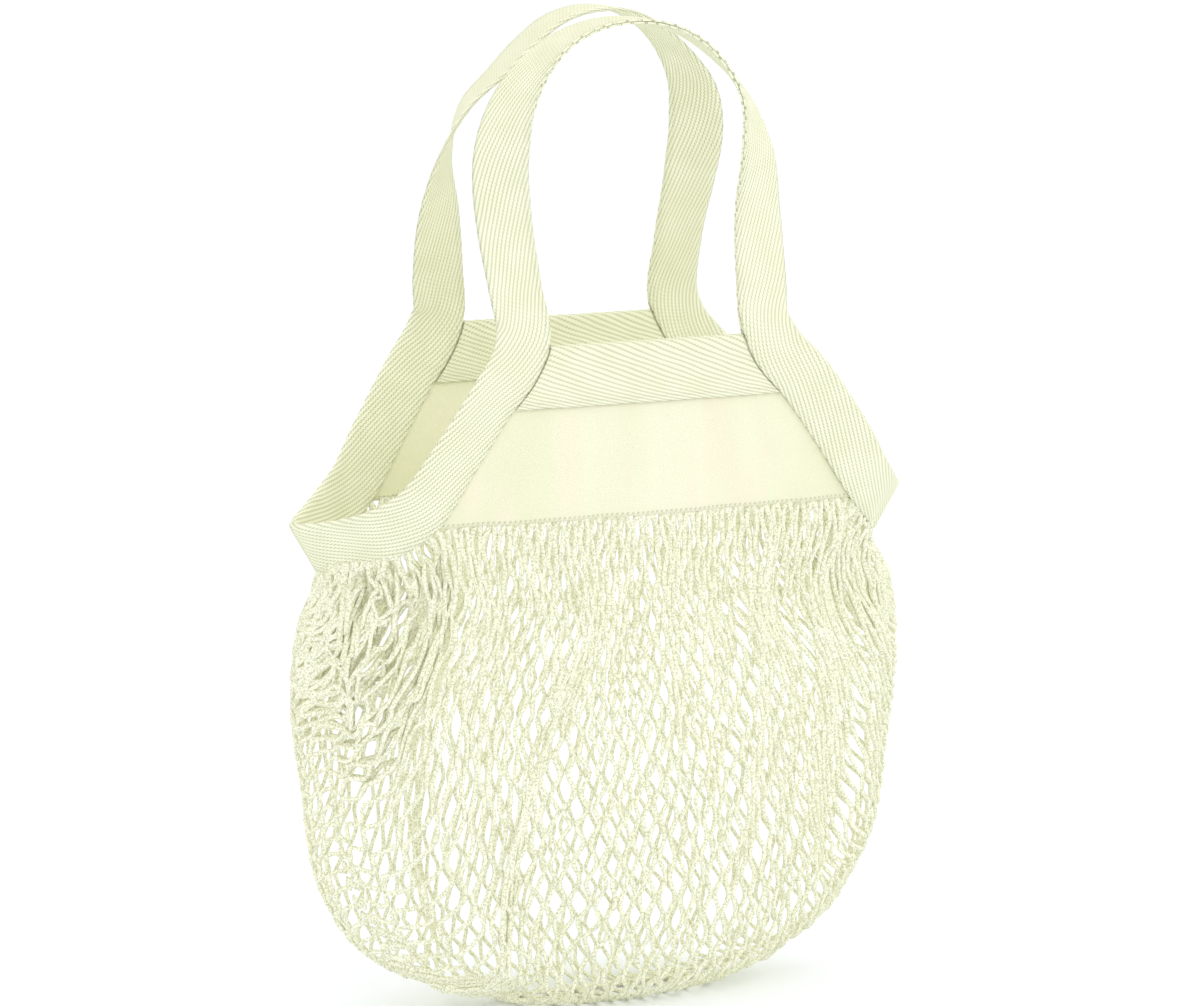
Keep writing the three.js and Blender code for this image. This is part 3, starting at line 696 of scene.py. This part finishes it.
class NetFace:
    """The front or the back of the sack as a smooth surface, in its side's own frame."""

    SIDES = 96
    DOWNS = 72

    def __init__(self, way, bundles, swags):
        self.way = way
        self.bundles = bundles
        self.swags = swags
        self.grid = []
        for i in range(self.SIDES + 1):
            line = net_line(way, i * 2 / self.SIDES - 1)
            seam = line.knots[1]
            length = line.knots[-1]
            column = []
            for k in range(self.DOWNS + 1):
                down = k / self.DOWNS
                if down < SEWN_SHARE:
                    distance = seam * down / SEWN_SHARE
                else:
                    distance = mix(seam, length, (down - SEWN_SHARE) / (1 - SEWN_SHARE))
                x, y, z = line.at(distance)
                column.append(Vector((x + NET_SHIFT * ease(down, 0.05, 0.4), y, z)))
            self.grid.append(column)

    def smooth(self, side, down):
        i = min(max((side + 1) / 2, 0), 1) * self.SIDES
        k = min(max(down, 0), 1) * self.DOWNS
        i0, k0 = min(int(i), self.SIDES - 1), min(int(k), self.DOWNS - 1)
        a = self.grid[i0][k0].lerp(self.grid[i0][k0 + 1], k - k0)
        b = self.grid[i0 + 1][k0].lerp(self.grid[i0 + 1][k0 + 1], k - k0)
        return a.lerp(b, i - i0)

    def outward(self, side, down):
        step = 0.03
        across = self.smooth(side + step, down) - self.smooth(side - step, down)
        fall = self.smooth(side, down + step) - self.smooth(side, down - step)
        return fall.cross(across).normalized()

    def side_of(self, column, down):
        """Place across of a column counted from mid face."""
        i = max(k for k, row in enumerate(COLUMN_ROWS[:-1]) if row[0] <= down)
        (high, many), (low, few) = COLUMN_ROWS[i], COLUMN_ROWS[i + 1]
        left = mix(many, few, (down - high) / (low - high))
        even = abs(column) / left
        even = even * (1 - WIDER_ENDS) + even ** 3 * WIDER_ENDS
        total = COLUMN_ROWS[0][1]
        count = abs(column)
        if count < COLUMNS_UNDER_PANEL:
            sewn = count / COLUMNS_UNDER_PANEL * UNDER_PANEL
        else:
            beyond = (count - COLUMNS_UNDER_PANEL) / (total - COLUMNS_UNDER_PANEL)
            sewn = mix(UNDER_PANEL, 1, beyond)
        return math.copysign(mix(sewn, even, ease(down, 0, 0.32)), column)

    def drape(self, side, down):
        """Where a place on the evenly hung net lies once it has bunched and sagged, and how far
        it then stands out."""
        out = 0
        moved = side
        for at_high, at_low, high, low, span, draw, lift in self.bundles:
            share = (down - high) / (low - high)
            strength = ease(share, -0.12, 0.15) * (1 - ease(share, 0.8, 1.15))
            gap = side - mix(at_high, at_low, share ** 1.5 if share > 0 else share)
            near = math.exp(-((gap / span) ** 2)) * strength
            moved -= gap * draw * near
            out += lift * near
        sagged = down
        for at, span, high, low, sag in self.swags:
            begun = ease(down, high, mix(high, low, 0.5))
            strength = begun * (1 - ease(down, mix(high, low, 0.6), low))
            sagged += sag * strength * math.exp(-(((side - at) / span) ** 2))
        edge = 1 - ease(abs(side), 0.85, 1)
        round_share = moved / 4 if self.way is front_way else 0.5 + moved / 4
        out = (out + fold_out(round_share, down)) * edge
        return mix(side, moved, edge), mix(down, sagged, edge), out

    def point(self, side, down, out):
        side, down, stands = self.drape(side, down)
        return self.smooth(side, down) + self.outward(side, down) * (stands + out)


def on_left(face, column):
    """Whether a column lies towards the bag's left end, seen from the front."""
    return (column < 0) == (face.way is front_way)


def cord_path(face, column, way_out, pleat=0):
    """Points of one cord with their thickness. It leaves its column towards way_out, meets the
    next cord half a row further down, and comes back. A cord in a pleat lies behind the face and
    stays in the heap by the tape's end."""
    path = []
    steps = HALF_ROWS * STATIONS
    for i in range(steps + 1):
        phase = i / STATIONS
        share = i / steps
        down = share * (1.15 + share * (0.6 * share - 0.75))
        swing = abs((phase + 1) % 2 - 1)
        swing = mix(swing, ease(swing, 0.08, 0.92), 0.55)
        nearby = Vector((column * 0.31, phase * 0.27, 5 if face.way is front_way else 20))
        stray = noise.noise(nearby) * mix(0.4, 0.14, ease(down, 0.25, 0.65)) * ease(down, 0, 0.1)
        crossing = mix(0.11, 0.06, down)
        place = column + way_out * mix(crossing, 0.5 - crossing, swing) + stray
        side = face.side_of(place, down)
        lower = down + noise.noise(nearby + Vector((9, 3, 1))) * 0.012 * ease(down, 0, 0.1)
        over = way_out * math.cos(phase * math.pi) * 0.0004
        ruffle = noise.noise(Vector((place * 0.6, phase * 0.2, 3))) * 0.0035 * ease(down, 0, 0.08)
        ruffle *= 1 - ease(down, 0.8, 1)
        # By the tape's ends the gathered cords lie in a heap of loops, more so on the left.
        left = on_left(face, column)
        foot = 0.34 if left else 0.2
        heap = ease(abs(side), 0.45, 0.7) * ease(down, 0, 0.04)
        heap *= 1 - ease(down, foot - 0.18, foot)
        heap *= 1 if left else 1 - 0.7 * ease(abs(side), 0.75, 0.95)
        layer = (40 if face.way is front_way else 60) + 50 * pleat
        tangle = Vector((place * 1.3, phase * 1.3, layer))
        ruffle += noise.noise(tangle) * 0.005 * heap - pleat * 0.0022 * ease(down, 0.02, 0.08)
        side += noise.noise(tangle + Vector((0, 0, 9))) * 0.035 * heap
        lower += noise.noise(tangle + Vector((0, 0, 17))) * 0.03 * heap
        if pleat and down > 0.08 and heap < 0.1:
            break
        ended = abs(side) >= 1
        side = max(-1, min(1, side))
        point = face.point(side, min(lower, 1), over + ruffle * (1 - ease(abs(side), 0.8, 1)))
        thick = mix(1.08, 1.0, ease(down, 0.2, 0.9)) + 0.25 * (1 - ease(down, 0.0, 0.06))
        thick += 0.1 * (1 - ease(swing, 0, 0.35))
        thick += noise.noise(Vector((column * 3.1, i * 0.9, 7))) * 0.15
        if face.way is back_way:
            thick = thick * 0.85 + 0.35 * (1 - ease(down, 0.02, 0.1))
        path.append((in_place(point, face.way), thick))
        if ended:
            break
    return path


def cords(name, paths, radius):
    """Round cords along their paths, closed and joined in one mesh."""
    curve = bpy.data.curves.new(name, "CURVE")
    curve.dimensions = "3D"
    curve.bevel_depth = radius
    curve.bevel_resolution = 1
    curve.use_fill_caps = True
    for path in paths:
        spline = curve.splines.new("POLY")
        spline.points.add(len(path) - 1)
        for bead, (point, thick) in zip(spline.points, path):
            # No cord sinks below the ground that the bag stands on.
            bead.co = (point.x, point.y, max(point.z, radius * thick - GRIP_HEIGHT), 1)
            bead.radius = thick
        spline.use_smooth = True
    drawn = bpy.data.objects.new(name + " drawn", curve)
    scene.collection.objects.link(drawn)
    mesh = bpy.data.meshes.new_from_object(drawn)
    bpy.data.objects.remove(drawn)
    mesh.name = name
    shape = bmesh.new()
    shape.from_mesh(mesh)
    bmesh.ops.remove_doubles(shape, verts=shape.verts, dist=radius / 100)
    bmesh.ops.recalc_face_normals(shape, faces=shape.faces)
    shape.to_mesh(mesh)
    shape.free()
    piece = bpy.data.objects.new(name, mesh)
    scene.collection.objects.link(piece)
    return piece


def knitted():
    """Knitted cord: small dark gaps between the loops, scattered as the loops turn round it, and a
    faint painted glow.
    """
    finish = Finish("net cotton")
    gap = finish.mottle(0.0008, 0.5).clipped(0.52, 0.6)
    patch = finish.mottle(0.02, 2.0).clipped(0.3, 0.7)
    plain = finish.blend(patch, (0.905, 0.905, 0.705, 1), (0.94, 0.94, 0.77, 1))
    colour = finish.blend(gap * 0.56, plain, (0.5, 0.52, 0.31, 1))
    loops = finish.mottle(0.0011, 1.0)
    # Painted light: the cord glows faintly in its own colour, which lifts its shade.
    finish.connect(finish.surface.inputs["Emission Color"], colour)
    finish.surface.inputs["Emission Strength"].default_value = 0.05
    return finish.wear(colour, 0.9, finish.raised(loops - gap * 0.4, 0.0004, 0.8))


net_cotton = knitted()


def net_side(name, face):
    paths = []
    most = COLUMN_ROWS[0][1]
    for column in range(-most, most + 1):
        for way_out in (-1, 1):
            if abs(column + way_out * 0.12) <= most:
                paths.append(cord_path(face, column, way_out))
                left = on_left(face, column)
                if -1 < abs(column) - COLUMNS_UNDER_PANEL < (12 if left else 6):
                    paths.append(cord_path(face, column, way_out, 1))
                    if left:
                        paths.append(cord_path(face, column, way_out, 2))
    piece = cords(name, paths, CORD_RADIUS)
    piece.data.materials.append(net_cotton)
    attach(piece, "root")
    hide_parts("net_body")
    return piece


front_net_face = NetFace(front_way, FRONT_BUNDLES, FRONT_SWAGS)
back_net_face = NetFace(back_way, BACK_BUNDLES, BACK_SWAGS)
net_front = net_side("net_front", front_net_face)
net_back = net_side("net_back", back_net_face)


def net_closing():
    """The cord that closes the front on the back: down one side, along the bottom and up."""
    path = []
    for sign in (1, -1):
        steps = 200
        run = range(steps + 1) if sign > 0 else range(steps, -1, -1)
        for i in run:
            down = i / steps
            point = front_net_face.smooth(sign, down)
            other = back_net_face.smooth(-sign, down)
            point = point.lerp(Vector((-other.x, -other.y, other.z)), 0.5)
            scallop = abs(math.sin(i * 0.42)) * 0.0016 * ease(down, 0.05, 0.2)
            point.x -= sign * scallop
            point.z += scallop * ease(down, 0.8, 1)
            path.append((in_place(point, front_way), 1.15 + 0.1 * math.sin(i * 1.7)))
        if sign > 0:
            right, left = path[-1][0].x, -path[-1][0].x
            for i in range(1, 40):
                x = mix(right, left, i / 40)
                scallop = abs(math.sin(i * 0.8)) * 0.0014
                path.append((Vector((x, 0, CORD_RADIUS * 1.2 - GRIP_HEIGHT + scallop)), 1.1))
    piece = cords("net_closing", [path], CORD_RADIUS)
    piece.data.materials.append(net_cotton)
    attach(piece, "root")
    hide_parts("net_body")
    return piece


net_edge = net_closing()

# ---------------------------------------------------------------------------------------------
# Handle tapes. One length of cotton twill tape, folded in two along its middle, takes in the
# edges of the net and of a panel, rises free as the handle and comes down the other side. The
# two lengths meet at the ends of the bag, and a seam closes each along its open edge.
# ---------------------------------------------------------------------------------------------
SHUT_SLOT = 0.00006
PANEL_SLOT = PANEL_THICK / 2 + CLEARANCE
NET_SLOT = 0.00115
SLOT_BLEND = 0.014


def tape_slot(way, distance):
    near = min(distance, way.length - distance)
    held = mix(NET_SLOT, PANEL_SLOT, ease(near, way.panel_low, way.panel_low + SLOT_BLEND))
    return mix(held, SHUT_SLOT, ease(near, way.panel_high, way.panel_high + SLOT_BLEND))


def handle_tape(name, way):
    half = TAPE_WIDTH / 2

    def place(side, turned):
        distance = (side + 1) / 2 * way.length
        off = tape_slot(way, distance) + TAPE_LAYER / 2
        straight = TAPE_WIDTH - off
        round_fold = math.pi * off
        run = turned * (2 * straight + round_fold)
        if run < straight:
            across, out = -half + run, -off
        elif run > straight + round_fold:
            across, out = half - off - (run - straight - round_fold), off
        else:
            angle = (run - straight) / off
            across, out = half - off + off * math.sin(angle), -off * math.cos(angle)
        centre, _, width, face = way.frame(distance)
        point = centre + width * across + face * out
        point.y = min(point.y, -CLEARANCE / 2)
        return point, (distance, (turned - 0.5) * 2 * TAPE_WIDTH)

    piece = cloth_sheet(name, way, 440, 28, place, TAPE_LAYER * 0.9)
    piece.data.materials.append(tape_cotton)
    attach(piece, "root")
    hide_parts(name)


handle_tape("front_handle_tape", front_way)
handle_tape("back_handle_tape", back_way)

# ---------------------------------------------------------------------------------------------
# Floor and light. A plain white floor runs up into a white sky, with broad soft light.
# ---------------------------------------------------------------------------------------------
FLOOR = -GRIP_HEIGHT
floor_shape = bmesh.new()
bmesh.ops.create_grid(floor_shape, x_segments=1, y_segments=1, size=30)
bmesh.ops.translate(floor_shape, vec=(0, 0, FLOOR), verts=floor_shape.verts)
floor_mesh = bpy.data.meshes.new("floor")
floor_shape.to_mesh(floor_mesh)
floor_shape.free()
floor = bpy.data.objects.new("floor", floor_mesh)
scene.collection.objects.link(floor)
paper = Finish("floor paper")
floor_mesh.materials.append(paper.wear((0.94, 0.965, 0.995, 1), 0.9))

sky = bpy.data.worlds.new("studio")
sky.use_nodes = True
sky.node_tree.nodes["Background"].inputs["Color"].default_value = (1, 1, 1, 1)
sky.node_tree.nodes["Background"].inputs["Strength"].default_value = 1.07
scene.world = sky


def soft_light(name, place, size, power):
    lamp = bpy.data.lights.new(name, "AREA")
    lamp.shape = "SQUARE"
    lamp.size = size
    lamp.energy = power
    light = bpy.data.objects.new(name, lamp)
    light.location = place
    light.rotation_euler = (Vector(place) - AIM).to_track_quat("Z", "Y").to_euler()
    scene.collection.objects.link(light)


soft_light("key", (-0.9, -2.1, 1.3), 1.6, 5)
soft_light("right", (2.1, -0.9, 0.7), 1.4, 4)
soft_light("top", (0.5, 0.2, 2.2), 2.0, 5)
for place in ((-0.08, 0, -0.3), (0.0, 0, -0.34), (0.08, 0, -0.3), (0.0, 0, -0.2)):
    glow = bpy.data.lights.new("inside fill", "POINT")
    glow.shadow_soft_size = 0.035
    glow.energy = 0.012
    light = bpy.data.objects.new("inside fill", glow)
    light.location = place
    light.visible_camera = False
    scene.collection.objects.link(light)

scene.view_settings.view_transform = "Standard"
